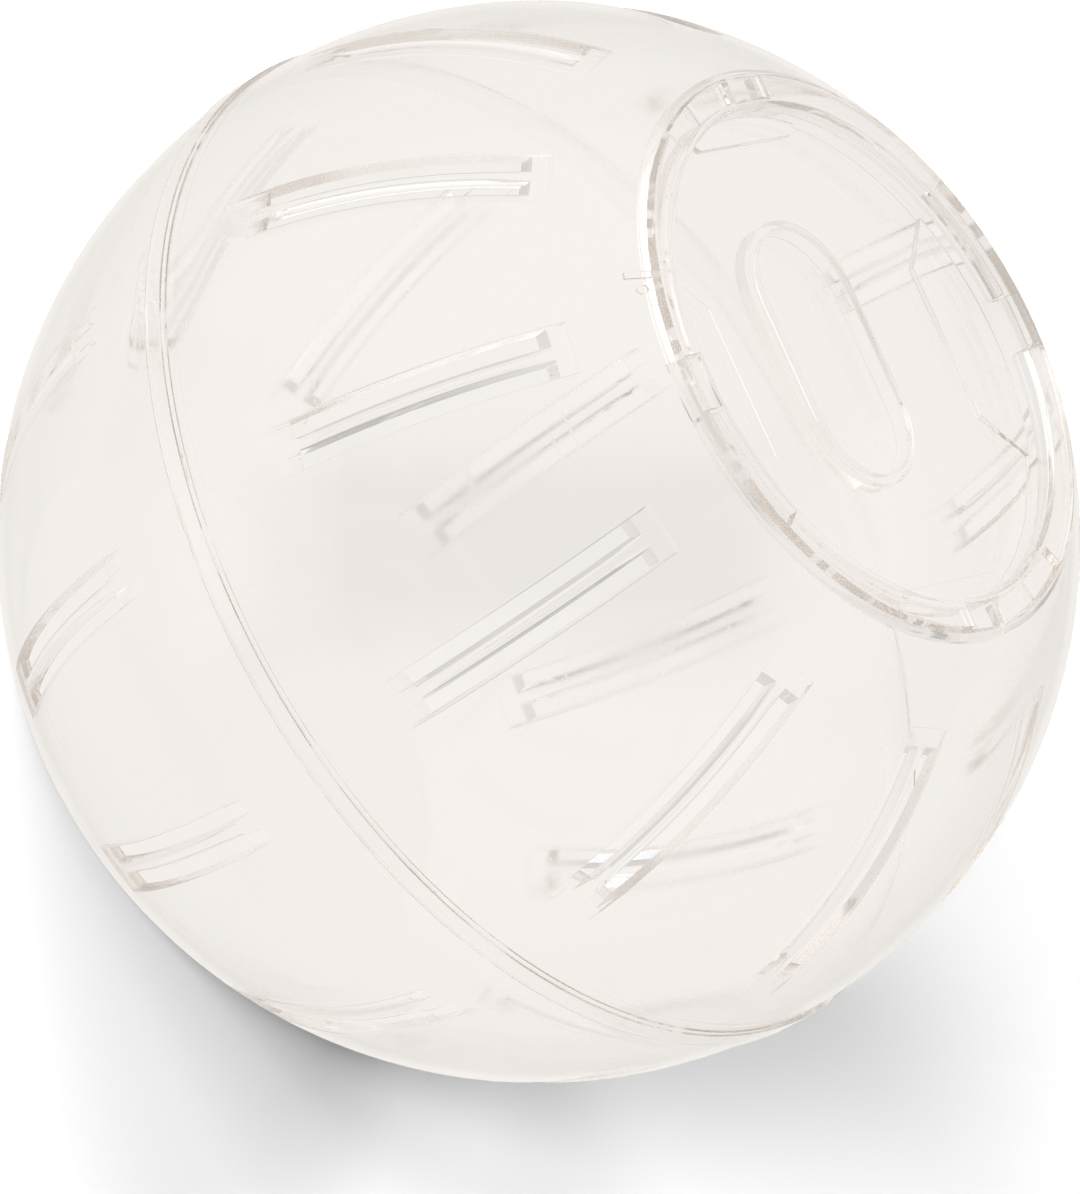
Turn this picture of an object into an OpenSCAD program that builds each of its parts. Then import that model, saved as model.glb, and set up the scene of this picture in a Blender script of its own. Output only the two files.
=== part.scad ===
// Exercise ball for a hamster: two clear half shells that plug together at the
// equator, and a round dished door that a bayonet rim holds in the front half.
// +Z runs along the ball's axis, from the closed flat to the door. The origin is
// the centre of the ball. Millimetres.

/* [Ball] */
// Outside diameter of the ball
ball_d = 180; // [170:1:200]
// Wall thickness of the two half shells
wall = 1.8; // [1.5:0.1:2.2]
// Radius of the flat at the closed pole, and of the door
flat_r = 50; // [49:0.25:51]
// Rounding where the closed flat meets the sphere
flat_round = 4; // [2.5:0.5:5]

/* [Equator joint] */
// Height of the joint line above the centre of the ball
joint_z = 1.4; // [1:0.1:1.8]
// How far the tongue of the front half reaches below the joint line
tongue_l = 3.8; // [3:0.1:4.5]
// Thickness of the tongue
tongue_t = 1.4; // [1.1:0.1:1.6]
// Radial clearance between the tongue and the lip around it
tongue_gap = 0.07; // [0.04:0.01:0.1]
// How far the lip of the rear half stands proud of the sphere
lip_proud = 0.65; // [0.4:0.05:0.9]
// Height of the bead on the front half, next to the joint line
bead_h = 1; // [0.6:0.1:1.4]
// How far that bead stands proud of the sphere
bead_proud = 0.35; // [0.2:0.05:0.5]

/* [Vents] */
// Number of vents around each half
vent_n = 12; // [8:1:14]
// Width of a vent's channel
vent_w = 8.6; // [7.5:0.1:9.5]
// Width of the bar down the middle of a vent
bar_w = 2.4; // [1.8:0.1:3]
// Depth of the channel that the bar lies in
vent_depth = 0.5; // [0.3:0.05:0.8]
// Angle from the pole at which a vent's channel starts
vent_a0 = 45; // [44:0.5:47]
// Angle from the pole at which its slots start
slot_a0 = 46.6; // [46:0.2:49]
// Angle from the pole at which its slots end
slot_a1 = 75.5; // [70:0.5:77]
// Angle from the pole at which its channel fades out
vent_a1 = 80.8; // [79:0.2:82]
// Position of the front half's first vent, counted from the +X lug
front_clock = 18; // [15:1:21]
// Position of the rear half's first vent
rear_clock = 21; // [0:1:29]

/* [Door opening] */
// Clearance between the door and the opening, on the radius
door_gap = 0.3; // [0.2:0.05:0.4]
// Thickness of the web under the opening's edge, which carries the ledge
ring_t = 0.8; // [0.7:0.1:1.6]
// Thickness of the ledge that the door rests on
ledge_t = 1.5; // [1.2:0.1:1.8]
// Number of bayonet lugs
lug_n = 4; // [3:1:4]
// Width of a lug
lug_w = 9; // [7:0.5:10]
// Thickness of a lug
lug_t = 1.2; // [1:0.1:1.3]

/* [Door] */
// Thickness of the door's rim
rim_t = 2.43; // [2.3:0.05:2.6]
// Thickness of the dish
dish_t = 1.5; // [1.2:0.1:1.8]
// Depth of the dish below the top of the rim
dish_depth = 5.6; // [5:0.1:6.5]
// Side clearance of a lug in its notch
notch_gap = 0.5; // [0.3:0.1:0.8]
// Turn from a notch to the end stop of its track, in degrees
track_turn = 32; // [26:1:34]
// Thickness left under a track
track_floor = 0.9; // [0.8:0.05:0.95]
// Position of the snap bump in a track, in degrees from the notch
bump_turn = 19.5; // [17:0.5:20]
// Length of the finger pocket
pocket_l = 45; // [40:1:50]
// Width of the finger pocket
pocket_w = 24; // [20:1:26]
// Depth of the finger pocket
pocket_depth = 3.5; // [2.5:0.1:4]
// How far the pocket's middle lies off the door's axis, towards -X
pocket_off = 2.5; // [0:0.5:4]
// Distance of the end pads from the middle of the door
end_pad = 40; // [38:0.5:41]
// Distance of the side pads from the middle of the door
side_pad = 30.5; // [27:0.5:32]
// Length of a pad's straight inner edge
pad_l = 27; // [20:1:30]
// Height of the pads
pad_t = 0.9; // [0.5:0.1:1.2]

/* [Hidden] */
$fn = 144;

R = ball_d / 2;
ri = R - wall;
flat_z = sqrt(R * R - flat_r * flat_r);
e = 0.01;

// joint
tongue_or = R - 0.72;
tongue_ir = tongue_or - tongue_t;
lip_ir = tongue_or + tongue_gap;
lip_or = R + lip_proud;
tongue_z = joint_z - tongue_l;
tongue_top = sqrt(ri * ri - tongue_ir * tongue_ir);
lip_foot = tongue_z - 1;
blend_z = tongue_z - 6.5;

// door opening
hole_r = flat_r + door_gap;
rim_top = sqrt(R * R - hole_r * hole_r);
rim_bottom = flat_z - rim_t;
ledge_top = rim_bottom - 0.05;
dish_or = flat_r - 4;
dish_ir = dish_or - dish_t + 0.1;
ledge_ir = dish_or + 0.4;
notch_r = dish_or - 0.3;
lug_r = dish_or + 0.1;
lug_bottom = rim_top - lug_t;
track_z = rim_bottom + track_floor;
dish_z = flat_z - dish_depth;

// centre, from the axis, of the rounding between a sphere and a flat at depth h
function round_x(a, h, q) = sqrt((a - q) * (a - q) - (h - q) * (h - q));

module ring(r0, r1, z0, z1) {
    rotate_extrude() translate([r0, z0]) square([r1 - r0, z1 - z0]);
}

// ball of radius a whose lower pole is cut flat at depth h and rounded by q
module flat_ball(a, h, q) {
    xc = round_x(a, h, q);
    meet = atan((h - q) / xc);
    intersection() {
        sphere(r = a);
        rotate_extrude() polygon(concat(
            [[0, -h], [xc, -h]],
            [for (i = [1 : 5]) let (t = 90 - i * (90 - meet) / 6) [xc + q * cos(t), -(h - q) - q * sin(t)]],
            [[xc + (q + 0.3) * cos(meet - 8), -(h - q) - (q + 0.3) * sin(meet - 8)],
             [2 * a, -h / 2], [2 * a, 2 * a], [0, 2 * a]]));
    }
}

// one vent, cut along the mould's draw: a shallow channel and two slots
module vent_cut() {
    x0 = R * sin(vent_a0);
    x1 = R * sin(vent_a1);
    s0 = R * sin(slot_a0);
    s1 = (R - vent_depth) * sin(slot_a1);
    slot_w = (vent_w - bar_w) / 2;
    difference() {
        translate([x0, -vent_w / 2, joint_z + 3]) cube([x1 - x0, vent_w, R]);
        sphere(r = R - vent_depth);
    }
    for (side = [-1, 1])
        translate([s0, side * (bar_w + slot_w) / 2 - slot_w / 2, joint_z + 3])
            cube([s1 - s0, slot_w, R]);
}

module vents(clock) {
    for (i = [0 : vent_n - 1]) rotate([0, 0, clock + i * 360 / vent_n]) vent_cut();
}

// sector of a flat disc between two angles
module sector(a0, a1, r, z0, z1) {
    m = (a0 + a1) / 2;
    translate([0, 0, z0]) linear_extrude(z1 - z0)
        polygon([[0, 0], [r * cos(a0), r * sin(a0)], [1.2 * r * cos(m), 1.2 * r * sin(m)], [r * cos(a1), r * sin(a1)]]);
}

module oblong(l, w) {
    square([l - w, w], center = true);
    for (side = [-1, 1]) translate([side * (l - w) / 2, 0]) circle(d = w);
}

// Rear half: closed flat, twelve vents, and a proud lip that takes the tongue
module rear_shell() {
    color([0.93, 0.92, 0.9, 0.35])
    difference() {
        union() {
            intersection() {
                flat_ball(R, flat_z, flat_round);
                translate([0, 0, joint_z - 2 * R]) cylinder(r = 2 * R, h = 2 * R);
            }
            // lip
            rotate_extrude() polygon([
                [R * cos(asin(-blend_z / R)) - 0.8, blend_z],
                [R * cos(asin(-blend_z / R)), blend_z],
                [lip_or, lip_foot], [lip_or, joint_z],
                [lip_ir - 0.4, joint_z], [lip_ir - 0.4, tongue_z]]);
        }
        // hollow
        intersection() {
            sphere(r = ri);
            translate([0, 0, wall - flat_z]) cylinder(r = 2 * R, h = 2 * R);
        }
        // rebate for the tongue
        translate([0, 0, tongue_z - 0.1]) cylinder(r = lip_ir, h = 20);
        mirror([0, 0, 1]) vents(rear_clock);
    }
}

// Front half: tongue and bead at the equator, twelve vents, and the door opening
module front_shell() {
    color([0.95, 0.94, 0.92, 0.35])
    difference() {
        union() {
            difference() {
                intersection() {
                    difference() {
                        sphere(r = R);
                        sphere(r = ri);
                    }
                    translate([0, 0, joint_z]) cylinder(r = 2 * R, h = 2 * R);
                }
                translate([0, 0, R / 2]) cylinder(r = hole_r, h = R);
            }
            // tongue
            ring(tongue_ir, tongue_or, tongue_z, tongue_top);
            // bead
            ring(R - 1, R + bead_proud, joint_z, joint_z + bead_h);
            // web around the opening, down to the foot of the ledge
            intersection() {
                sphere(r = R);
                ring(hole_r, hole_r + ring_t, ledge_top - ledge_t, R);
            }
            // ledge, open below each lug
            difference() {
                ring(ledge_ir, hole_r + ring_t / 2, ledge_top - ledge_t, ledge_top);
                for (i = [0 : lug_n - 1]) rotate([0, 0, i * 360 / lug_n])
                    translate([ledge_ir - 2, -lug_w / 2 - notch_gap, ledge_top - ledge_t - 1])
                        cube([hole_r - ledge_ir + 1.6, lug_w + 2 * notch_gap, ledge_t + 2]);
            }
            // lugs
            for (i = [0 : lug_n - 1]) rotate([0, 0, i * 360 / lug_n])
                difference() {
                    translate([lug_r - 2, -lug_w / 2, lug_bottom])
                        cube([hole_r - lug_r + 2.6, lug_w, lug_t]);
                    translate([0, 0, lug_bottom - 1]) cylinder(r = lug_r, h = lug_t + 2);
                }
            // raised tick and dot beside the rim, where a notch stands when the door is locked
            intersection() {
                difference() {
                    sphere(r = R + 0.35);
                    sphere(r = R - 0.5);
                }
                rotate([0, 0, -112.5]) translate([hole_r + 1.2, -0.6, R / 2]) cube([4, 1.2, R]);
            }
            intersection() {
                difference() {
                    sphere(r = R + 0.3);
                    sphere(r = R - 0.5);
                }
                rotate([0, 0, -109.6]) translate([hole_r + 3, 0, R / 2]) cylinder(r = 0.8, h = R);
            }
        }
        vents(front_clock);
    }
}

// Door: notched rim with bayonet tracks, dish with a finger pocket and four pads
module door() {
    color([0.96, 0.95, 0.94, 0.35])
    difference() {
        union() {
            // rim
            ring(dish_ir, flat_r, rim_bottom, flat_z);
            // wall and floor of the dish
            ring(dish_ir, dish_or, dish_z - dish_t, flat_z);
            translate([0, 0, dish_z - dish_t]) cylinder(r = dish_or - e, h = dish_t);
            // outside of the pocket
            translate([-pocket_off, 0, dish_z - pocket_depth - dish_t])
                linear_extrude(pocket_depth + dish_t) oblong(pocket_l + 2 * dish_t, pocket_w + 2 * dish_t);
            // pads
            intersection() {
                translate([0, 0, dish_z - 0.5]) cylinder(r = dish_ir + 0.3, h = pad_t + 0.5);
                translate([0, 0, dish_z - 1]) linear_extrude(pad_t + 1)
                    for (i = [0 : 3]) rotate(i * 90) {
                        d = i % 2 == 0 ? end_pad : side_pad;
                        polygon([[d, -pad_l / 2], [d, pad_l / 2], [flat_r, pad_l / 2 + flat_r - d], [flat_r, -pad_l / 2 - flat_r + d]]);
                    }
            }
        }
        // pocket
        translate([-pocket_off, 0, dish_z - pocket_depth])
            linear_extrude(pocket_depth + pad_t + 1) oblong(pocket_l, pocket_w);
        // bevels at the rim's edges
        translate([0, 0, flat_z - 0.8]) cylinder(r1 = dish_ir, r2 = dish_ir + 0.8 + e, h = 0.8 + e);
        // notches
        for (i = [0 : lug_n - 1]) rotate([0, 0, i * 360 / lug_n])
            difference() {
                translate([notch_r - 4, -lug_w / 2 - notch_gap, rim_bottom - 1])
                    cube([12, lug_w + 2 * notch_gap, rim_t + 2]);
                translate([0, 0, rim_bottom - 2]) cylinder(r = notch_r, h = rim_t + 4);
            }
        // tracks, from each notch to its end stop
        for (i = [0 : lug_n - 1])
            difference() {
                intersection() {
                    ring(dish_or + 0.05, flat_r + 2, track_z, flat_z + 1);
                    sector(i * 360 / lug_n + 3, i * 360 / lug_n + track_turn, 2 * flat_r, track_z - 1, flat_z + 2);
                }
                rotate([0, 0, i * 360 / lug_n + bump_turn])
                    translate([dish_or - 1, 0, track_z - 0.35]) rotate([0, 90, 0]) cylinder(r = 0.6, h = 6);
            }
    }
}

rear_shell();
front_shell();
door();
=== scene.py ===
import math

import bmesh
import bpy
import numpy as np
from mathutils import Matrix, Vector
from mathutils.geometry import delaunay_2d_cdt


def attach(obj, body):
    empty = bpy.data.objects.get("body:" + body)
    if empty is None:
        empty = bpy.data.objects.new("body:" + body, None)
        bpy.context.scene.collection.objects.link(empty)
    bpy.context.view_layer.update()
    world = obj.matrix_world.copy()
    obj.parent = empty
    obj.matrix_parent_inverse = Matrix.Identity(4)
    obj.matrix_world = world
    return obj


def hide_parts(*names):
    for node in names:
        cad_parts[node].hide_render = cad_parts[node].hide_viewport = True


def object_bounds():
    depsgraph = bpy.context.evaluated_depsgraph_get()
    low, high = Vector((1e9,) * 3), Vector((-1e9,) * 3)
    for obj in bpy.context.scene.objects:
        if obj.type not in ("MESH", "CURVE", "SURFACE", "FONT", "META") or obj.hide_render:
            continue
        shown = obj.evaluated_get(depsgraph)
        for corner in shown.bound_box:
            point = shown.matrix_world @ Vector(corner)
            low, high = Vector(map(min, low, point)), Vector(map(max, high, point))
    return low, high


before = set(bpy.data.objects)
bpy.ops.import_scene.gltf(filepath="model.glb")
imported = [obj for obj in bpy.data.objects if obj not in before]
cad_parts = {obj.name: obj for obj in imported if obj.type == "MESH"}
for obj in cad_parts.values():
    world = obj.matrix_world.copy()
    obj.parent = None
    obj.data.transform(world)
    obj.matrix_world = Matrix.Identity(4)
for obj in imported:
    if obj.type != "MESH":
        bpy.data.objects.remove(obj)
cad_box = [list(v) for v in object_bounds()]
scene = bpy.context.scene
R = 0.09
# the photograph's view, from the ball: towards the camera, up and right in the picture
BACK = Vector((0.1518, -0.8190, 0.5534)).normalized()
UP = Vector((-0.8999, 0.1172, 0.4202))
UP = (UP - BACK * UP.dot(BACK)).normalized()
RIGHT = UP.cross(BACK).normalized()

# ---------------------------------------------------------------- node helpers


def new_tree(owner):
    owner.use_nodes = True
    tree = owner.node_tree
    tree.nodes.clear()
    return tree


def node(tree, kind, at=(0, 0), **values):
    n = tree.nodes.new(kind)
    n.location = at
    for k, v in values.items():
        setattr(n, k, v)
    return n


def link(tree, a, b):
    tree.links.new(a, b)


# ---------------------------------------------------------------- materials


def clear_plastic(name, tint=(0.995, 0.992, 0.988), rough=0.05, fine=1.0, density=4.0):
    """Clear moulded plastic: faint mould waviness, flow lines and hairline scuffs from use."""
    m = bpy.data.materials.new(name)
    t = new_tree(m)
    out = node(t, "ShaderNodeOutputMaterial", (900, 0))
    bsdf = node(t, "ShaderNodeBsdfPrincipled", (560, 0))
    bsdf.inputs["Base Color"].default_value = (*tint, 1)
    bsdf.inputs["IOR"].default_value = 1.5
    bsdf.inputs["Transmission Weight"].default_value = 1.0
    bsdf.inputs["Roughness"].default_value = rough
    link(t, bsdf.outputs["BSDF"], out.inputs["Surface"])
    vol = node(t, "ShaderNodeVolumeAbsorption", (560, -420))
    vol.inputs["Color"].default_value = (0.86, 0.80, 0.74, 1)
    vol.inputs["Density"].default_value = density
    link(t, vol.outputs["Volume"], out.inputs["Volume"])

    where = node(t, "ShaderNodeTexCoord", (-1100, 0))
    # slow waviness of the moulded wall
    wave = node(t, "ShaderNodeTexNoise", (-600, -260))
    wave.inputs["Scale"].default_value = 26.0
    wave.inputs["Detail"].default_value = 2.0
    wave.inputs["Roughness"].default_value = 0.45
    link(t, where.outputs["Object"], wave.inputs["Vector"])
    # hairline scuffs
    stretch = node(t, "ShaderNodeMapping", (-860, -560))
    stretch.inputs["Rotation"].default_value = (0.4, 0.9, 0.3)
    stretch.inputs["Scale"].default_value = (60, 900, 900)
    link(t, where.outputs["Object"], stretch.inputs["Vector"])
    scuff = node(t, "ShaderNodeTexNoise", (-600, -560))
    scuff.inputs["Scale"].default_value = 1.0
    scuff.inputs["Detail"].default_value = 3.0
    link(t, stretch.outputs["Vector"], scuff.inputs["Vector"])
    lines = node(t, "ShaderNodeValToRGB", (-400, -560))
    lines.color_ramp.elements[0].position = 0.63
    lines.color_ramp.elements[0].color = (0, 0, 0, 1)
    lines.color_ramp.elements[1].position = 0.72
    lines.color_ramp.elements[1].color = (1, 1, 1, 1)
    link(t, scuff.outputs["Fac"], lines.inputs["Fac"])
    # patches of handling haze
    haze = node(t, "ShaderNodeTexNoise", (-600, 60))
    haze.inputs["Scale"].default_value = 34.0
    haze.inputs["Detail"].default_value = 5.0
    haze.inputs["Roughness"].default_value = 0.6
    link(t, where.outputs["Object"], haze.inputs["Vector"])
    patch = node(t, "ShaderNodeMapRange", (-400, 60))
    patch.inputs["From Min"].default_value = 0.42
    patch.inputs["From Max"].default_value = 0.75
    patch.inputs["To Min"].default_value = rough * 0.6
    patch.inputs["To Max"].default_value = rough * 2.4
    link(t, haze.outputs["Fac"], patch.inputs["Value"])
    add = node(t, "ShaderNodeMath", (-120, 0), operation="MULTIPLY_ADD")
    add.inputs[1].default_value = 0.08 * fine
    link(t, lines.outputs["Color"], add.inputs[0])
    link(t, patch.outputs["Result"], add.inputs[2])
    link(t, add.outputs["Value"], bsdf.inputs["Roughness"])

    bump = node(t, "ShaderNodeBump", (260, -300))
    bump.inputs["Strength"].default_value = 0.05
    bump.inputs["Distance"].default_value = 0.002
    link(t, wave.outputs["Fac"], bump.inputs["Height"])
    bump2 = node(t, "ShaderNodeBump", (400, -460))
    bump2.inputs["Strength"].default_value = 0.008 * fine
    bump2.inputs["Distance"].default_value = 0.0001
    link(t, lines.outputs["Color"], bump2.inputs["Height"])
    link(t, bump.outputs["Normal"], bump2.inputs["Normal"])
    link(t, bump2.outputs["Normal"], bsdf.inputs["Normal"])
    return m


shell_mat = clear_plastic("clear_shell")
door_mat = clear_plastic("clear_door", rough=0.04, fine=0.6)


for name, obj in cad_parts.items():
    obj.data.materials.clear()
    obj.data.materials.append(door_mat if name == "door" else shell_mat)
    obj.visible_diffuse = False

# ---------------------------------------------------------------- moulded shapes, in millimetres

RO, RI, RF = 90.0, 88.2, 89.5          # outside, inside, floor of a vent's channel
VENT_W, BAR_W = 8.6, 2.4
DRAFT, BAR_DRAFT, SLOPE = 0.25, 0.45, 0.32              # how far a slot narrows on its way in, and its channel's sloping side
X_CH0, X_SL0, X_SL1, X_CH1 = 63.640, 65.392, 86.650, 88.843


class Skin:
    """Collects faces whose corners are merged where they meet."""

    def __init__(self):
        self.index, self.points, self.faces = {}, [], []

    def at(self, p):
        key = (round(p[0] * 2000), round(p[1] * 2000), round(p[2] * 2000))
        for dx in (0, -1, 1):
            for dy in (0, -1, 1):
                for dz in (0, -1, 1):
                    k = (key[0] + dx, key[1] + dy, key[2] + dz)
                    if k in self.index:
                        return self.index[k]
        self.index[key] = len(self.points)
        self.points.append(tuple(p))
        return self.index[key]

    def face(self, *corners):
        ids = []
        for c in corners:
            i = self.at(c)
            if i not in ids:
                ids.append(i)
        if len(ids) > 2:
            self.faces.append(ids)

    def strip(self, a, b, closed=False):
        n = len(a)
        for i in range(n if closed else n - 1):
            j = (i + 1) % n
            self.face(a[i], a[j], b[j], b[i])

    def bridge(self, a, b):
        """Triangles between two closed rows of points that go round the axis, with different points."""
        ang = lambda p: math.atan2(p[1], p[0]) % (2 * math.pi)
        a, b = sorted(a, key=ang), sorted(b, key=ang)
        aa, bb = [ang(p) for p in a], [ang(p) for p in b]
        i, j, na, nb = 0, 0, len(a), len(b)
        while i < na or j < nb:
            ta = aa[(i + 1) % na] + (2 * math.pi if i + 1 >= na else 0)
            tb = bb[(j + 1) % nb] + (2 * math.pi if j + 1 >= nb else 0)
            if j >= nb or (i < na and ta <= tb):
                self.face(a[i % na], a[(i + 1) % na], b[j % nb])
                i += 1
            else:
                self.face(a[i % na], b[(j + 1) % nb], b[j % nb])
                j += 1


def sector(skin, clock, rows_before, z_end, zi_end, n_after, mirror):
    """One half's vents and wall, a sector of 30 degrees for each vent. Returns the rows of points at its four edges:
    outside and inside, next to the pole and next to the equator."""
    half = VENT_W / 2
    ys = [-half, -half + 1.55, -BAR_W / 2, -0.93, -0.5, 0.0, 0.5, 0.93, BAR_W / 2, half - 1.55, half]
    crown = {BAR_W / 2: 0.55, 0.93: 0.24, 0.5: 0.06}  # the bar between two slots is rounded over
    drafts = [DRAFT, 0.0, -BAR_DRAFT, -0.1, 0.0, 0.0, 0.0, 0.1, BAR_DRAFT, 0.0, -DRAFT]
    lines = 5
    s_rows = [(None, r) for r in rows_before]
    a0, a1 = math.asin(X_SL0 / RO), math.asin(X_SL1 / RO)
    xs = [X_CH0, X_SL0] + [RO * math.sin(a0 + (a1 - a0) * k / 12) for k in range(1, 12)] + [X_SL1, 87.80, X_CH1]
    k_ch0, k_sl0 = len(s_rows), len(s_rows) + 1
    s_rows += [(x, math.hypot(x, half)) for x in xs]
    k_sl1 = k_sl0 + 12
    k_ch1 = len(s_rows) - 1
    z1 = math.sqrt(RO**2 - X_CH1**2 - half**2)
    for k in range(1, n_after + 1):
        z = z1 + (z_end - z1) * k / n_after
        s_rows.append((None, math.sqrt(RO**2 - z * z)))
    nrow = len(s_rows)
    flip = -1.0 if mirror else 1.0

    def plan(k, c):
        """Plan position of column c in row k. Columns: lines left, the channel's, lines right."""
        x, rho = s_rows[k]
        s = math.sqrt(rho**2 - half**2)
        if k <= k_ch0:
            w = k / k_ch0 if k_ch0 else 1.0
        elif k >= k_ch1:
            w = 1.0 - (k - k_ch1) / max(1, nrow - 1 - k_ch1)
        else:
            w = 1.0
        if c < lines or c > lines + len(ys) - 1:
            f = (lines - c) / lines if c < lines else (c - lines - len(ys) + 1) / lines
            th = math.atan2(half, s)
            th = th + (math.radians(15) - th) * f
            sign = -1 if c < lines else 1
            return rho * math.cos(th), sign * rho * math.sin(th)
        y = ys[c - lines]
        return (1 - w) * math.sqrt(rho**2 - y * y) + w * s, y

    ncol = 2 * lines + len(ys)
    T, F, I = {}, {}, {}
    for k in range(nrow):
        for c in range(ncol):
            x, y = plan(k, c)
            rr = x * x + y * y
            xt, yt = x, y
            inside = lines <= c < lines + len(ys)
            # the channel runs out towards the equator
            deep = 1.0 if k <= k_sl1 else max(0.0, (k_ch1 - k) / (k_ch1 - k_sl1))
            if k_ch0 <= k <= k_ch1 and inside:
                xt -= SLOPE if k == k_ch0 else 0.0
                yt += {lines: -SLOPE, lines + len(ys) - 1: SLOPE}.get(c, 0.0) * deep
            T[k, c] = (xt, yt, math.sqrt(max(RO**2 - xt * xt - yt * yt, 0)))
            if k_ch0 <= k <= k_ch1:
                down = crown.get(abs(ys[c - lines]), 0.0) if inside and k_sl0 < k < k_sl1 else 0.0
                F[k, c] = (x, y, math.sqrt((RO - (RO - RF) * deep - down)**2 - rr))
            if k <= k_sl1:
                xi = x + ({k_sl0: DRAFT, k_sl1: -DRAFT}.get(k, 0.0) if inside else 0.0)
                yi = y + (drafts[c - lines] if inside else 0.0)
                I[k, c] = (xi, yi, math.sqrt(RI**2 - xi * xi - yi * yi))
            else:
                z = I[k_sl1, c][2]
                z = z + (zi_end - z) * (k - k_sl1) / (nrow - 1 - k_sl1)
                rho, th = math.sqrt(RI**2 - z * z), math.atan2(y, x)
                I[k, c] = (rho * math.cos(th), rho * math.sin(th), z)

    def kind(k, c):
        """Of the cell between rows k, k+1 and columns c, c+1: 2 full wall, 1 channel floor, 0 slot."""
        if not (lines <= c < lines + len(ys) - 1) or not (k_ch0 <= k < k_ch1):
            return 2
        mid = c - lines
        if k_sl0 <= k < k_sl1 and mid in (0, 1, 8, 9):
            return 0
        return 1

    for turn in range(12):
        a = math.radians(clock + 30 * turn)
        ca, sa = math.cos(a), math.sin(a)

        def put(p):
            return (p[0] * ca - p[1] * sa, p[0] * sa + p[1] * ca, p[2] * flip)

        def quad(L, k, c):
            skin.face(*(put(L[q]) for q in ((k, c), (k + 1, c), (k + 1, c + 1), (k, c + 1))))

        for k in range(nrow - 1):
            for c in range(ncol - 1):
                m = kind(k, c)
                if m == 2:
                    quad(T, k, c)
                if m == 1:
                    quad(F, k, c)
                if m:
                    quad(I, k, c)
                for (q, other) in (((k, c + 1), "c"), ((k + 1, c), "k")):
                    if (other == "c" and c + 1 > ncol - 2) or (other == "k" and k + 1 > nrow - 2):
                        continue
                    n = kind(*q)
                    if n == m:
                        continue
                    e = ((k, c + 1), (k + 1, c + 1)) if other == "c" else ((k + 1, c), (k + 1, c + 1))
                    lo, hi = min(n, m), max(n, m)
                    if hi == 2:
                        skin.face(put(T[e[0]]), put(T[e[1]]), put(F[e[1]]), put(F[e[0]]))
                    if lo == 0:
                        skin.face(put(F[e[0]]), put(F[e[1]]), put(I[e[1]]), put(I[e[0]]))
    edges = []
    for L, k in ((T, 0), (T, nrow - 1), (I, 0), (I, nrow - 1)):
        row = []
        for turn in range(12):
            a = math.radians(clock + 30 * turn)
            ca, sa = math.cos(a), math.sin(a)
            row += [(L[k, c][0] * ca - L[k, c][1] * sa, L[k, c][0] * sa + L[k, c][1] * ca, L[k, c][2] * flip) for c in range(ncol - 1)]
        edges.append(row)
    return edges


def turned(row, r, z):
    """The row of points moved to radius r and height z, each at its own angle."""
    return [(r * p[0] / math.hypot(p[0], p[1]), r * p[1] / math.hypot(p[0], p[1]), z) for p in row]


def finish_mesh(name, skin, spheres, bevel=0.2, sharp=28.0, marks=None):
    """Bevels every sharp edge, then gives the faces the true normals of the surfaces that they stand for."""
    me = bpy.data.meshes.new(name)
    me.from_pydata(skin.points, [], skin.faces)
    bm = bmesh.new()
    bm.from_mesh(me)
    bmesh.ops.recalc_face_normals(bm, faces=bm.faces)
    if bm.calc_volume(signed=True) < 0:
        bmesh.ops.reverse_faces(bm, faces=bm.faces)
    if marks is not None:
        bm.to_mesh(me)
        me = joined(me, marks)
        bm.clear()
        bm.from_mesh(me)
        bmesh.ops.remove_doubles(bm, verts=bm.verts, dist=0.002)
        bmesh.ops.recalc_face_normals(bm, faces=bm.faces)
    tip = math.hypot(X_CH1, VENT_W / 2)  # where a channel runs out, its sides have no height left to bevel
    at_tip = lambda v: abs(math.hypot(v.co.x, v.co.y) - tip) < 0.004 and abs(v.co.length - RO) < 0.004
    edges = [e for e in bm.edges if len(e.link_faces) == 2 and e.calc_face_angle(0) > math.radians(sharp) and not (at_tip(e.verts[0]) or at_tip(e.verts[1]))]
    bmesh.ops.bevel(bm, geom=edges, offset=bevel, offset_type="OFFSET", segments=2, profile=0.5, affect="EDGES", clamp_overlap=True, loop_slide=True)
    left = sum(1 for e in bm.edges if len(e.link_faces) != 2)
    print("MESH", name, "open edges", left, "faces", len(bm.faces), "volume", round(bm.calc_volume(), 1), "mm3")
    bm.normal_update()
    normals = np.zeros((len(bm.verts), 3))
    fixed = np.zeros(len(bm.verts), bool)
    bm.verts.index_update()
    for f in bm.faces:
        area = f.calc_area()
        n = f.normal
        c = f.calc_center_median()
        on = None
        if area > 0.05:
            for r in spheres:
                if all(abs(v.co.length - r) < 0.02 for v in f.verts) and abs(n.dot(c.normalized())) > 0.995:
                    on = 1.0 if n.dot(c) > 0 else -1.0
        for v in f.verts:
            if on is not None:
                if not fixed[v.index]:
                    fixed[v.index] = True
                    normals[v.index] = v.co.normalized() * on
            elif not fixed[v.index]:
                normals[v.index] += np.array(n) * area
    for f in bm.faces:
        f.smooth = True
    bmesh.ops.scale(bm, vec=(0.001, 0.001, 0.001), verts=bm.verts)
    bm.to_mesh(me)
    bm.free()
    ln = np.linalg.norm(normals, axis=1)
    normals[ln > 0] /= ln[ln > 0, None]
    me.normals_split_custom_set_from_vertices([tuple(n) for n in normals])
    obj = bpy.data.objects.new(name, me)
    scene.collection.objects.link(obj)
    return obj


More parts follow.
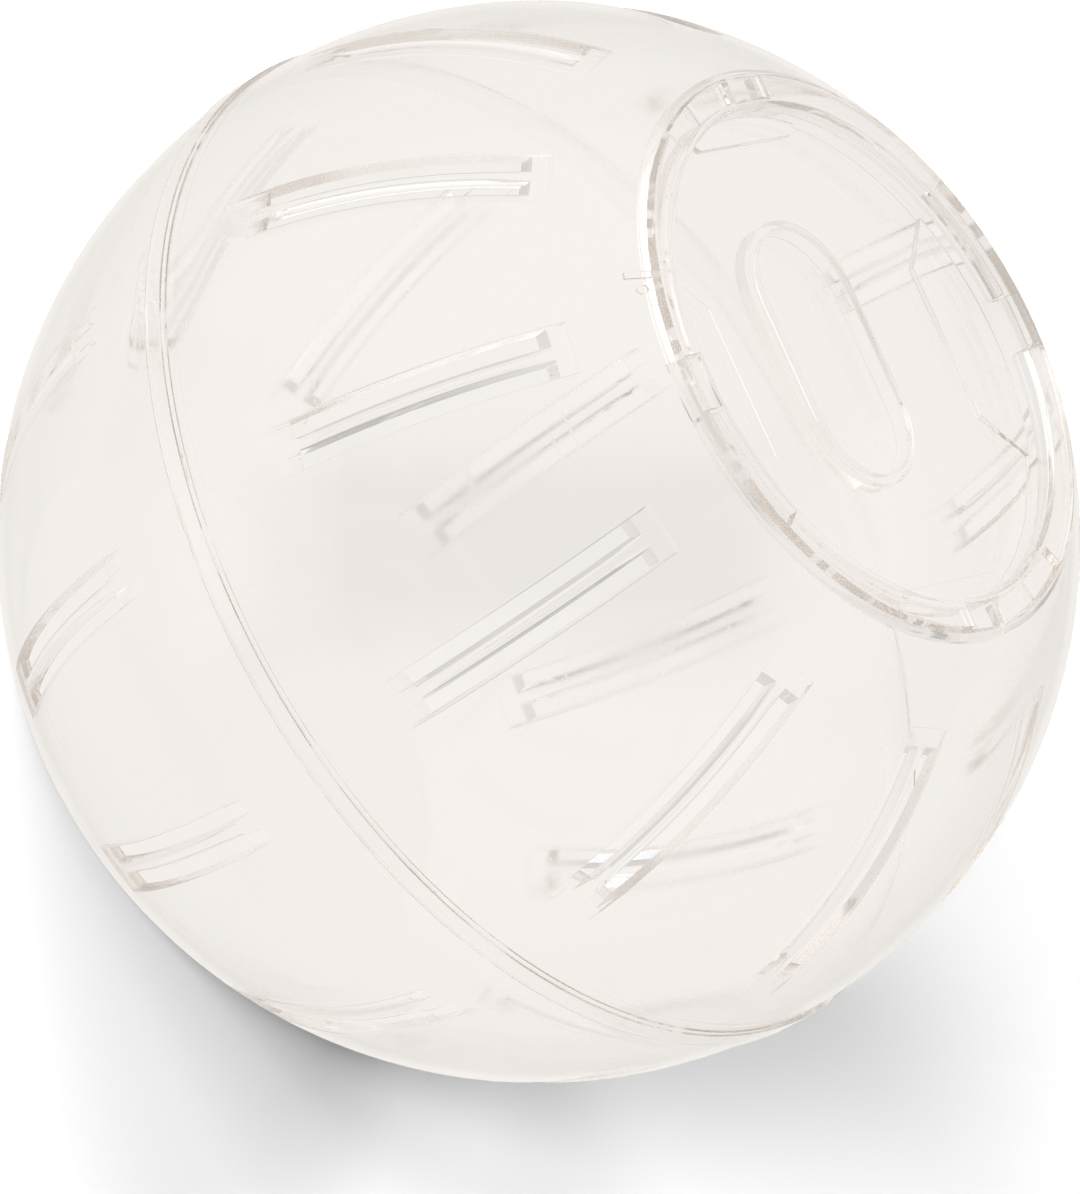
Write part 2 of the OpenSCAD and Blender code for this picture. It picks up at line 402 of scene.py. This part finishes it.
def joined(base, add):
    """The two closed meshes as one, with nothing left inside."""
    a = bpy.data.objects.new("base", base)
    am = bpy.data.meshes.new("marks")
    am.from_pydata(add.points, [], add.faces)
    bm = bmesh.new()
    bm.from_mesh(am)
    bmesh.ops.recalc_face_normals(bm, faces=bm.faces)
    bm.to_mesh(am)
    bm.free()
    b = bpy.data.objects.new("marks", am)
    for o in (a, b):
        scene.collection.objects.link(o)
    mod = a.modifiers.new("join", "BOOLEAN")
    mod.operation, mod.solver, mod.object = "UNION", "EXACT", b
    out_ = bpy.data.meshes.new_from_object(a.evaluated_get(bpy.context.evaluated_depsgraph_get()))
    for o in (a, b):
        bpy.data.objects.remove(o)
    return out_


def rim_marks():
    """A raised tick and dot on the opening's rim, which show where the door locks."""
    k = Skin()
    a = math.radians(-112.5)
    ca, sa = math.cos(a), math.sin(a)
    low, high = [], []
    outline = [(51.6, -0.6), (53.0, -0.6), (54.2, -0.6), (55.4, -0.6), (55.4, 0.6), (54.2, 0.6), (53.0, 0.6), (51.6, 0.6)]
    for x, y in outline:
        px, py = x * ca - y * sa, x * sa + y * ca
        for lst, r in ((low, RO - 0.6), (high, RO + 0.35)):
            lst.append((px, py, math.sqrt(r * r - x * x - y * y)))
    k.strip(low, high, True)
    for lst in (low, high):
        for q in ((0, 1, 6, 7), (1, 2, 5, 6), (2, 3, 4, 5)):
            k.face(*(lst[i] for i in q))
    a = math.radians(-109.6)
    cx, cy = 53.3 * math.cos(a), 53.3 * math.sin(a)
    low, high = [], []
    for i in range(16):
        b = 2 * math.pi * i / 16
        x, y = cx + 0.8 * math.cos(b), cy + 0.8 * math.sin(b)
        for lst, r in ((low, RO - 0.6), (high, RO + 0.3)):
            lst.append((x, y, math.sqrt(r * r - x * x - y * y)))
    k.strip(low, high, True)
    k.face(*low)
    k.face(*high)
    return k


def rear_half():
    k = Skin()
    pole_t, eq_t, pole_i, eq_i = sector(k, 21.0, [54.2, 57.4, 60.6], 8.9, 2.5, 3, True)
    # pole: rounding and flat outside, flat inside
    q, h = 4.0, 74.833
    xc = math.sqrt((RO - q) ** 2 - (h - q) ** 2)
    meet = math.degrees(math.atan((h - q) / xc))
    row, last = pole_t, None
    prof = [(52.4, -math.sqrt(RO**2 - 52.4**2))]
    for i in range(0, 7):
        a = math.radians(meet + (90 - meet) * i / 6)
        prof.append((xc + q * math.cos(a), -(h - q) - q * math.sin(a)))
    prof += [(r, -h) for r in (46.0, 40.0, 32.0, 22.0, 12.0)]
    for r, z in prof:
        nxt = turned(pole_t, r, z)
        k.strip(row, nxt, True)
        row = nxt
    k.face(*row)
    row = pole_i
    hi = h - 1.8
    for r, z in [(52.0, -math.sqrt(RI**2 - 52.0**2)), (math.sqrt(RI**2 - hi**2), -hi)] + [(r, -hi) for r in (46.0, 40.0, 32.0, 22.0, 12.0)]:
        nxt = turned(pole_i, r, z)
        k.strip(row, nxt, True)
        row = nxt
    k.face(*row)
    # equator: proud lip with the rebate that takes the tongue
    row = eq_t
    for r, z in [(90.65, -3.4), (90.65, 1.4), (89.35, 1.4), (89.35, -2.5)]:
        nxt = turned(eq_t, r, z)
        k.strip(row, nxt, True)
        row = nxt
    k.strip(row, turned(eq_i, math.sqrt(RI**2 - 2.5**2), -2.5), True)
    k.strip(turned(eq_i, math.sqrt(RI**2 - 2.5**2), -2.5), eq_i, True)
    return k


def front_half():
    k = Skin()
    pole_t, eq_t, pole_i, eq_i = sector(k, 18.0, [54.0, 57.2, 60.4], 2.4, 7.5, 5, False)
    row = eq_t
    for r, z in [(90.35, 2.4), (90.35, 1.5), (89.28, 1.5), (89.28, -2.4), (87.88, -2.4)]:
        nxt = turned(eq_t, r, z)
        k.strip(row, nxt, True)
        row = nxt
    k.strip(row, turned(eq_i, 87.88, 7.5), True)
    # opening: its own columns, so that lugs and windows have straight sides
    top = math.sqrt(RO**2 - 50.3**2)
    z1, z2, z3, z4 = 70.853, 72.353, top - 1.2, top
    cols = []
    for st in range(4):
        for y in (-5.0, -4.5, -1.5, 1.5, 4.5, 5.0):
            cols.append((st, "y", y))
        for i in range(1, 14):
            cols.append((st, "f", i / 14))

    def ring(r, z):
        pts = []
        for st, how, v in cols:
            if how == "y":
                a = math.asin(v / r)
            else:
                lo = math.asin(5.0 / r)
                a = lo + (math.pi / 2 - 2 * lo) * v
            a += math.radians(90 * st)
            pts.append((r * math.cos(a), r * math.sin(a), z))
        return pts

    n = len(cols)
    ledge, lug = [], []
    for i, (st, how, v) in enumerate(cols):
        ledge.append(how == "f" or v == 5.0)
        lug.append(how == "y" and -4.5 <= v < 4.5)
    P = {}

    def g(r, z):
        if (r, z) not in P:
            P[r, z] = ring(r, z)
        return P[r, z]

    ztop = lambda r: math.sqrt(RO**2 - r * r)
    zin = lambda r: math.sqrt(RI**2 - r * r)

    def quad(a, b, i):
        j = (i + 1) % n
        k.face(a[i], a[j], b[j], b[i])

    for i in range(n):
        j = (i + 1) % n
        quad(g(50.3, z4), g(52.1, ztop(52.1)), i)
        quad(g(52.1, ztop(52.1)), g(52.6, ztop(52.6)), i)
        quad(g(50.3, z1), g(51.1, z1), i)
        quad(g(51.1, z1), g(51.1, zin(51.1)), i)
        quad(g(51.1, zin(51.1)), g(52.6, zin(52.6)), i)
        if not ledge[i]:
            quad(g(50.3, z1), g(50.3, z2), i)
        else:
            quad(g(46.4, z1), g(50.3, z1), i)
            quad(g(46.4, z2), g(50.3, z2), i)
            quad(g(46.4, z1), g(46.4, z2), i)
        quad(g(50.3, z2), g(50.3, z3), i)
        if not lug[i]:
            quad(g(50.3, z3), g(50.3, z4), i)
        else:
            quad(g(46.1, z3), g(50.3, z3), i)
            quad(g(46.1, z4), g(50.3, z4), i)
            quad(g(46.1, z3), g(46.1, z4), i)
        prev = (i - 1) % n
        if ledge[i] != ledge[prev]:
            k.face(g(46.4, z1)[i], g(50.3, z1)[i], g(50.3, z2)[i], g(46.4, z2)[i])
        if lug[i] != lug[prev]:
            k.face(g(46.1, z3)[i], g(50.3, z3)[i], g(50.3, z4)[i], g(46.1, z4)[i])
    k.bridge(g(52.6, ztop(52.6)), pole_t)
    k.bridge(g(52.6, zin(52.6)), pole_i)
    return k


def stadium(length, width, cx, steps=14):
    r, h = width / 2, (length - width) / 2
    pts = []
    for side in (1, -1):
        for i in range(steps + 1):
            a = math.radians(-90 + 180 * i / steps)
            pts.append((cx + side * (h + r * math.cos(a)), side * r * math.sin(a)))
        if side == 1:
            pts += [(cx + h - 2 * h * i / 6, r) for i in range(1, 6)]
        else:
            pts += [(cx - h + 2 * h * i / 6, -r) for i in range(1, 6)]
    return pts


def in_stadium(x, y, length, width, cx):
    h = (length - width) / 2
    dx = max(abs(x - cx) - h, 0)
    return math.hypot(dx, y) < width / 2


def in_pad(x, y):
    for ax, ay, d in ((abs(x), abs(y), 40.0), (abs(y), abs(x), 30.5)):
        if ax > d and ay < 13.5 + ax - d:
            return True
    return False


def door_piece():
    k = Skin()
    top, low, tr = 74.833, 72.403, 73.303
    dz, db = top - 5.6, top - 7.1
    pocket, pocket_b = dz - 3.5, dz - 5.0
    # columns: angle at the notch's lines depends on the radius
    e_pad = math.degrees(math.atan2(15.37, 41.87))
    s_pad = math.degrees(math.atan2(21.87, 38.87))
    cols = []
    for st in range(4):
        pad = e_pad if st % 2 == 0 else s_pad
        nxt = s_pad if st % 2 == 0 else e_pad
        cols += [(st, "y", -5.0), (st, "y", -2.5), (st, "y", 0.0), (st, "y", 2.5), (st, "y", 5.0)]
        fixed = sorted([9.0, 12.0, 15.0, 17.4, 18.72, 19.5, 20.28, 22.0, 25.0, 28.0, 32.0] + [a for a in (36.0, 40.0, 44.0, 48.0, 52.0, 56.5, 64.5, 68.0, 72.0, 76.0, 80.0)] + [pad, 90 - nxt])
        keep = []
        for a in fixed:
            if keep and a - keep[-1] < 0.5 and a not in (pad, 90 - nxt, 32.0):
                continue
            keep.append(a)
        cols += [(st, "a", a) for a in keep]
    n = len(cols)

    def ring(r, z):
        pts = []
        for st, how, v in cols:
            a = math.asin(v / r) if how == "y" else math.radians(v)
            a += math.radians(90 * st)
            pts.append((r * math.cos(a), r * math.sin(a), z))
        return pts

    P = {}

    def g(r, z):
        if (r, z) not in P:
            P[r, z] = ring(r, z)
        return P[r, z]

    def track(z):
        """The track's floor, with its snap bump."""
        row = []
        for (st, how, v), p in zip(cols, g(z[0], z[1])):
            row.append((p[0], p[1], p[2] + (0.25 if how == "a" and abs(v - 19.5) < 1e-6 else 0.0)))
        return row

    kinds = []
    for i, (st, how, v) in enumerate(cols):
        if how == "y" and v < 5.0:
            kinds.append("notch")
        elif (how == "y" and v == 5.0) or (how == "a" and v < 32.0 - 1e-6):
            kinds.append("track")
        else:
            kinds.append("full")
    tr_in, tr_out = track((46.05, tr)), track((50.0, tr))

    def quad(a, b, i):
        j = (i + 1) % n
        k.face(a[i], a[j], b[j], b[i])

    pads = []
    for i in range(n):
        j = (i + 1) % n
        a, b = g(44.6, dz)[i], g(44.6, dz)[j]
        pads.append(in_pad((a[0] + b[0]) / 2, (a[1] + b[1]) / 2))
    pz = dz + 0.9
    for i in range(n):
        j = (i + 1) % n
        kd = kinds[i]
        quad(g(45.4, top), g(45.7, top), i)
        quad(g(44.6, top - 0.8), g(45.4, top), i)
        quad(g(44.6, top - 0.8), g(44.6, pz), i)
        if not pads[i]:
            quad(g(44.6, pz), g(44.6, dz), i)
        if kd == "notch":
            quad(g(45.7, top), g(45.7, low - 1), i)
            quad(g(45.7, low - 1), g(46.0, low - 1), i)
        else:
            quad(g(45.7, top), g(46.05, top), i)
            if kd == "track":
                quad(g(46.05, top), tr_in, i)
                quad(tr_in, tr_out, i)
                quad(tr_out, g(50.0, low), i)
            else:
                quad(g(46.05, top), g(50.0, top), i)
                quad(g(50.0, top), g(50.0, tr), i)
                quad(g(50.0, tr), g(50.0, low), i)
            quad(g(50.0, low), g(46.0, low), i)
            quad(g(46.0, low), g(46.0, low - 1), i)
        quad(g(46.0, low - 1), g(46.0, db), i)
        prev = kinds[(i - 1) % n]
        if prev != kd:
            pair = {prev, kd}
            full = [g(45.7, top)[i], g(46.05, top)[i], g(50.0, top)[i], g(50.0, tr)[i], g(50.0, low)[i], g(46.0, low)[i], g(46.0, low - 1)[i], g(45.7, low - 1)[i]]
            if pair == {"notch", "full"}:
                k.face(*full)
            elif pair == {"notch", "track"}:
                k.face(full[0], full[1], g(46.05, tr)[i], full[3], *full[4:])
            else:
                k.face(g(46.05, top)[i], g(46.05, tr)[i], g(50.0, tr)[i], g(50.0, top)[i])
    # upper face of the dish, with pads and pocket
    circle = [(p[0], p[1]) for p in g(44.6, dz)]
    poc = stadium(45.0, 24.0, -2.5)
    pts = list(circle)
    loops = [list(range(n))]
    loops.append(list(range(len(pts), len(pts) + len(poc))))
    pts += poc
    extra = []
    for ax in (0, 1):
        for sgn in (1, -1):
            d = 40.0 if ax == 0 else 30.5
            ends = ((41.87, 15.37) if ax == 0 else (38.87, 21.87))
            line = [(ends[0], ends[1])] + [(d, 13.5 - 27.0 * i / 8) for i in range(9)] + [(ends[0], -ends[1])]
            line = [(sgn * p, q_) if ax == 0 else (q_, sgn * p) for p, q_ in line]
            ids = []
            for p in line:
                best = min(range(n), key=lambda i: math.hypot(circle[i][0] - p[0], circle[i][1] - p[1]))
                if math.hypot(circle[best][0] - p[0], circle[best][1] - p[1]) < 0.05:
                    ids.append(best)
                else:
                    ids.append(len(pts))
                    pts.append(p)
            extra += [(ids[i], ids[i + 1]) for i in range(len(ids) - 1)]
    edges = extra
    for lp in loops:
        edges += [(lp[i], lp[(i + 1) % len(lp)]) for i in range(len(lp))]
    for gx in range(-40, 41, 8):
        for gy in range(-40, 41, 8):
            if math.hypot(gx, gy) < 42 and min(math.hypot(gx - p[0], gy - p[1]) for p in pts) > 3.5:
                pts.append((gx + 0.3, gy + 0.2))
    vs, _, tris, _, _, _ = delaunay_2d_cdt([Vector(p) for p in pts], edges, [], 0, 1e-6)
    level = []
    for t_ in tris:
        c = sum((vs[i] for i in t_), Vector((0, 0))) / 3
        if c.length > 44.6:
            level.append(None)
        elif in_stadium(c.x, c.y, 45.0, 24.0, -2.5):
            level.append(pocket)
        elif in_pad(c.x, c.y):
            level.append(pz)
        else:
            level.append(dz)
    beside = {}
    for t_, lv in zip(tris, level):
        if lv is None:
            continue
        k.face(*[(vs[i].x, vs[i].y, lv) for i in t_])
        for a, b in ((t_[0], t_[1]), (t_[1], t_[2]), (t_[2], t_[0])):
            beside.setdefault((min(a, b), max(a, b)), []).append(lv)
    for (a, b), lv in beside.items():
        if len(lv) == 2 and lv[0] != lv[1]:
            hi_, lo_ = max(lv), min(lv)
            k.face((vs[a].x, vs[a].y, hi_), (vs[b].x, vs[b].y, hi_), (vs[b].x, vs[b].y, lo_), (vs[a].x, vs[a].y, lo_))
    # underside
    circle = [(p[0], p[1]) for p in g(46.0, db)]
    poc = stadium(48.0, 27.0, -2.5)
    pts = circle + poc
    edges = [(i, (i + 1) % n) for i in range(n)] + [(n + i, n + (i + 1) % len(poc)) for i in range(len(poc))]
    for gx in range(-40, 41, 8):
        for gy in range(-40, 41, 8):
            if math.hypot(gx, gy) < 43 and min(math.hypot(gx - p[0], gy - p[1]) for p in pts) > 3.5:
                pts.append((gx + 0.3, gy + 0.2))
    vs, _, tris, _, _, _ = delaunay_2d_cdt([Vector(p) for p in pts], edges, [], 0, 1e-6)
    for t_ in tris:
        c = sum((vs[i] for i in t_), Vector((0, 0))) / 3
        if c.length > 46.0:
            continue
        z = pocket_b if in_stadium(c.x, c.y, 48.0, 27.0, -2.5) else db
        k.face(*[(vs[i].x, vs[i].y, z) for i in t_])
    m_ = len(poc)
    for i in range(m_):
        a, b = poc[i], poc[(i + 1) % m_]
        k.face((*a, db), (*b, db), (*b, pocket_b), (*a, pocket_b))
    return k


rear = finish_mesh("rear_moulding", rear_half(), (RO, RF, RI))
front_piece = finish_mesh("front_moulding", front_half(), (RO, RF, RI), marks=rim_marks())
door = finish_mesh("door_moulding", door_piece(), ())
for piece, body, cad_node, slot, mat in (
    (rear, "rear_half", "rear_shell", "shell_clear", shell_mat),
    (front_piece, "front_half", "front_shell", "shell_clear", shell_mat),
    (door, "door", "door", "door_clear", door_mat),
):
    piece.data.materials.append(mat)
    piece.visible_diffuse = False
    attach(piece, body)
    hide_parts(cad_node)

# ---------------------------------------------------------------- stage

floor_z = cad_box[0][2] - 0.00002
verts, faces = [(0, 0, floor_z)], []
rings, around = [0.06, 0.12, 0.25, 0.5, 1.0, 2.0, 4.0], 96
for r in rings:
    verts += [(r * math.cos(2 * math.pi * i / around), r * math.sin(2 * math.pi * i / around), floor_z) for i in range(around)]
for i in range(around):
    j = (i + 1) % around
    faces.append((0, 1 + i, 1 + j))
    for k in range(len(rings) - 1):
        a, b = 1 + k * around, 1 + (k + 1) * around
        faces.append((a + i, b + i, b + j, a + j))
mesh = bpy.data.meshes.new("studio_floor")
mesh.from_pydata(verts, [], faces)
floor = bpy.data.objects.new("studio_floor", mesh)
scene.collection.objects.link(floor)
m = bpy.data.materials.new("studio_floor")
t = new_tree(m)
out = node(t, "ShaderNodeOutputMaterial", (300, 0))
d = node(t, "ShaderNodeBsdfDiffuse", (0, 0))
d.inputs["Color"].default_value = (0.9, 0.9, 0.9, 1)
link(t, d.outputs[0], out.inputs["Surface"])
floor.data.materials.append(m)
floor.visible_transmission = False
floor.visible_glossy = False

# ---------------------------------------------------------------- light

world = bpy.data.worlds.new("studio")
scene.world = world
t = new_tree(world)
out = node(t, "ShaderNodeOutputWorld", (900, 0))
tc = node(t, "ShaderNodeTexCoord", (-1200, 0))


def along(direction):
    dot = node(t, "ShaderNodeVectorMath", operation="DOT_PRODUCT")
    dot.inputs[1].default_value = Vector(direction).normalized()
    link(t, tc.outputs["Generated"], dot.inputs[0])
    return dot.outputs["Value"]


def smooth(value, lo, hi):
    """0 below lo and 1 above hi, or the other way round if lo is the larger."""
    r = node(t, "ShaderNodeMapRange", interpolation_type="SMOOTHSTEP")
    r.inputs["From Min"].default_value = min(lo, hi)
    r.inputs["From Max"].default_value = max(lo, hi)
    r.inputs["To Min"].default_value = 0.0 if lo < hi else 1.0
    r.inputs["To Max"].default_value = 1.0 if lo < hi else 0.0
    link(t, value, r.inputs["Value"])
    return r.outputs["Result"]


def maths(op, a, b):
    n = node(t, "ShaderNodeMath", operation=op)
    for i, x in enumerate((a, b)):
        if isinstance(x, (int, float)):
            n.inputs[i].default_value = x
        else:
            link(t, x, n.inputs[i])
    return n.outputs["Value"]


def times(*xs):
    out_ = xs[0]
    for x in xs[1:]:
        out_ = maths("MULTIPLY", out_, x)
    return out_


def plus(*xs):
    out_ = xs[0]
    for x in xs[1:]:
        out_ = maths("ADD", out_, x)
    return out_


front, over, side = along(BACK), along(UP), along(RIGHT)
# what the plastic sees: a bright backdrop straight behind, greyer beside it, bright boxes above and to the left,
# and the darker room that the camera stands in
away = maths("MULTIPLY", front, -1.0)
ring = times(smooth(away, 0.970, 0.92), smooth(away, 0.55, 0.75), plus(1.0, times(smooth(side, -0.15, -0.5), -0.5)))
band = times(smooth(front, 0.0, 0.3), smooth(over, -0.45, -0.28), smooth(over, 0.32, 0.16), smooth(side, -0.95, -0.8), smooth(side, 0.85, 0.65))
top_box = times(smooth(over, 0.45, 0.62), smooth(front, -0.35, 0.05))
left_box = times(smooth(side, -0.62, -0.78), smooth(over, -0.45, -0.25), smooth(over, 0.6, 0.4), smooth(front, -0.1, 0.15))
right = times(smooth(side, 0.7, 0.95), smooth(away, -0.6, -0.2))
lp = node(t, "ShaderNodeLightPath")
mirrored = maths("MINIMUM", lp.outputs["Glossy Depth"], 1.0)  # the boxes and the dark room are seen as reflections only
# greyer still in one narrow part of that, above and to the left
part = along(UP * 0.50 + RIGHT * 0.866)
flag = times(smooth(away, 0.950, 0.90), smooth(away, 0.35, 0.50), smooth(part, -0.16, -0.04), smooth(part, 0.16, 0.04), smooth(over, 0.1, 0.3))
through = maths("SUBTRACT", 1.0, mirrored)
val = plus(0.91, times(over, 0.05), times(ring, plus(times(through, -0.14), -0.10)), times(right, -0.08), times(flag, through, -0.28), times(mirrored, plus(times(band, -0.52), times(top_box, 0.28), times(left_box, 0.22))))
bg_obj = node(t, "ShaderNodeBackground")
link(t, val, bg_obj.inputs["Strength"])
bg_obj.inputs["Color"].default_value = (1.0, 0.965, 0.932, 1)
bg_cam = node(t, "ShaderNodeBackground")
bg_cam.inputs["Strength"].default_value = 1.02
bg_dif = node(t, "ShaderNodeBackground")
bg_dif.inputs["Strength"].default_value = 0.012
mix1 = node(t, "ShaderNodeMixShader")
link(t, lp.outputs["Is Camera Ray"], mix1.inputs[0])
link(t, bg_obj.outputs[0], mix1.inputs[1])
link(t, bg_cam.outputs[0], mix1.inputs[2])
mix2 = node(t, "ShaderNodeMixShader")
link(t, lp.outputs["Is Diffuse Ray"], mix2.inputs[0])
link(t, mix1.outputs[0], mix2.inputs[1])
link(t, bg_dif.outputs[0], mix2.inputs[2])
link(t, mix2.outputs[0], out.inputs["Surface"])


def lamp(name, azimuth, elevation, half_angle, floor_share):
    """A large round softbox far away. floor_share is how bright it makes the floor."""
    d = bpy.data.lights.new(name, "SUN")
    e = math.radians(elevation)
    a_ = math.radians(azimuth)
    d.angle = 2 * math.radians(half_angle)
    d.energy = floor_share * math.pi / (0.9 * math.sin(e))
    o = bpy.data.objects.new(name, d)
    o.location = (3 * math.cos(e) * math.cos(a_), 3 * math.cos(e) * math.sin(a_), 3 * math.sin(e))
    o.rotation_mode = "QUATERNION"
    o.rotation_quaternion = (-Vector(o.location)).to_track_quat("-Z", "Y")
    o.visible_glossy = o.visible_transmission = o.visible_camera = False
    scene.collection.objects.link(o)


lamp("softbox_a", -140.0, 8.5, 8.5, 0.121)
lamp("softbox_b", -130.0, 8.5, 8.5, 0.123)
lamp("softbox_c", 170.0, 8.5, 8.5, 0.176)
lamp("softbox_d", 108.0, 14.0, 9.5, 0.248)
lamp("softbox_e", -95.3, 20.0, 9.5, 0.288)
lamp("softbox_f", -146.2, 26.0, 9.5, 0.150)
lamp("softbox_g", -87.1, 32.0, 9.5, 0.153)
lamp("softbox_h", 90.0, 56.0, 9.5, 0.136)

# a small soft fill on the floor behind the ball, where two open slots line up and show it
d = bpy.data.lights.new("floor_fill", "SPOT")
d.energy = 1.15
d.spot_size = math.radians(12)
d.spot_blend = 1.0
d.shadow_soft_size = 0.01
o = bpy.data.objects.new("floor_fill", d)
o.location = (0.047, 0.175, 0.150)
o.rotation_mode = "QUATERNION"
o.rotation_quaternion = (Vector((0.037, 0.091, floor_z)) - Vector(o.location)).to_track_quat("-Z", "Y")
o.visible_glossy = o.visible_transmission = o.visible_camera = False
scene.collection.objects.link(o)

# ---------------------------------------------------------------- camera

cam_data = bpy.data.cameras.new("camera")
cam = bpy.data.objects.new("camera", cam_data)
scene.collection.objects.link(cam)
scene.camera = cam
cam_data.sensor_width = 36.0
cam_data.lens = 36.0 * 17868.0 / 1194.0
cam_data.dof.use_dof = False
cam_data.clip_start, cam_data.clip_end = 0.5, 20.0
D = 33 * R
cam_data.shift_x = (540.0 - 538.7) / 1194.0
cam_data.shift_y = (541.5 - 597.0) / 1194.0
rot = Matrix((RIGHT, UP, BACK)).transposed().to_4x4()
cam.matrix_world = Matrix.Translation(BACK * D) @ rot

# ---------------------------------------------------------------- finish

scene.view_settings.view_transform = "Standard"
scene.view_settings.look = "None"
c = scene.cycles
c.max_bounces = 96
c.transmission_bounces = 96
c.glossy_bounces = 96
c.transparent_max_bounces = 16
c.caustics_reflective = False
c.caustics_refractive = False
c.blur_glossy = 0.0
